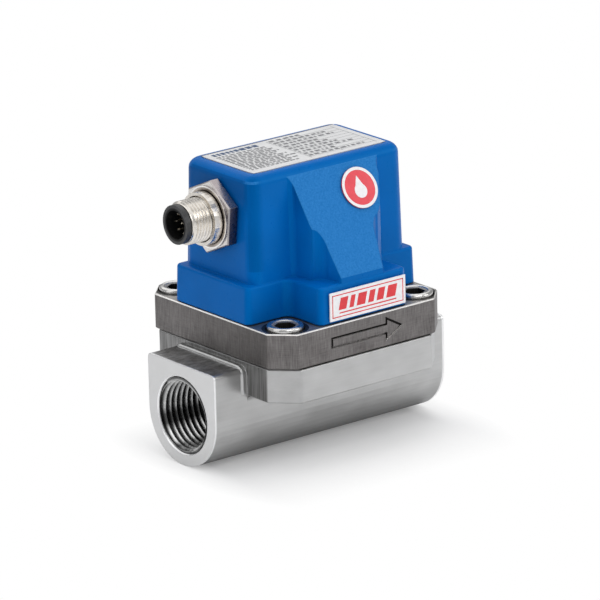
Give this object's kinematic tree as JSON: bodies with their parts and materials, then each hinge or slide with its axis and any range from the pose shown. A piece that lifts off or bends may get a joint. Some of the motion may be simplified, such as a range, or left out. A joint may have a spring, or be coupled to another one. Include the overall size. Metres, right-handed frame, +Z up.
{
  "type": "flow meter",
  "caption": "Compact in-line differential pressure flow meter with threaded pipe ports, bolted cover plate, moulded electronic head and round plug connector.",
  "frame": {"origin": "on the pipe axis, halfway between the two port faces", "axes": "+X along the pipe in the direction of flow, +Z up through the cover plate to the roof of the head"},
  "size_m": [0.0792, 0.06, 0.0799],
  "materials": {
    "machined_steel": "machined and lightly brushed",
    "screw_steel": "bright turned",
    "cast_plate": "dark cast and ground",
    "blue_paint": "semi-gloss enamel",
    "nickel": "nickel plated",
    "brass": "turned",
    "contact_gold": "gold plated",
    "black_plastic": "moulded",
    "black_rubber": "moulded",
    "spring_steel": "drawn wire",
    "magnet": "plated",
    "board_green": "solder mask",
    "name_plate_silver": "satin with printed fields",
    "label_white": "printed film",
    "badge_red": "printed film"
  },
  "bodies": {
    "meter": {"pipe_body": "machined_steel", "orifice_plate": "screw_steel", "orifice_retainer": "screw_steel", "cover_plate": "cast_plate", "cap_screw_1": "screw_steel", "cap_screw_2": "screw_steel", "cap_screw_3": "screw_steel", "cap_screw_4": "screw_steel", "diaphragm": "black_rubber", "range_spring": "spring_steel", "guide_tube": "screw_steel", "guide_tube_seal": "black_rubber", "housing": "blue_paint", "housing_seal": "black_rubber", "housing_screw_1": "screw_steel", "housing_screw_2": "screw_steel", "housing_screw_3": "screw_steel", "housing_screw_4": "screw_steel", "connector_shell": "nickel", "connector_nut": "nickel", "connector_collar": "nickel", "connector_insert": "black_plastic", "connector_pin_1": "contact_gold", "connector_pin_2": "contact_gold", "connector_pin_3": "contact_gold", "connector_pin_4": "contact_gold", "connector_pin_5": "contact_gold", "connector_pin_6": "contact_gold", "connector_pin_7": "contact_gold", "connector_pin_8": "contact_gold", "name_plate": "name_plate_silver", "front_label": "label_white", "round_badge": "badge_red", "board_carrier": "black_plastic", "carrier_screw_1": "screw_steel", "carrier_screw_2": "screw_steel", "circuit_board": "board_green", "hall_sensor": "black_plastic", "processor_chip": "black_plastic", "board_header": "black_plastic", "capacitor": "machined_steel"},
    "plunger": {"diaphragm_disc_lower": "screw_steel", "diaphragm_disc_upper": "screw_steel", "push_rod": "screw_steel", "rod_nut": "brass", "magnet_holder": "black_plastic", "sensor_magnet": "magnet"}
  },
  "joints": [
    {"name": "plunger_slide", "type": "slide", "parent": "meter", "child": "plunger", "axis": [0, 0, 1], "range_m": [0, 0.0015], "stiffness_N_per_m": 1500, "deforming": ["diaphragm", "range_spring"]}
  ]
}
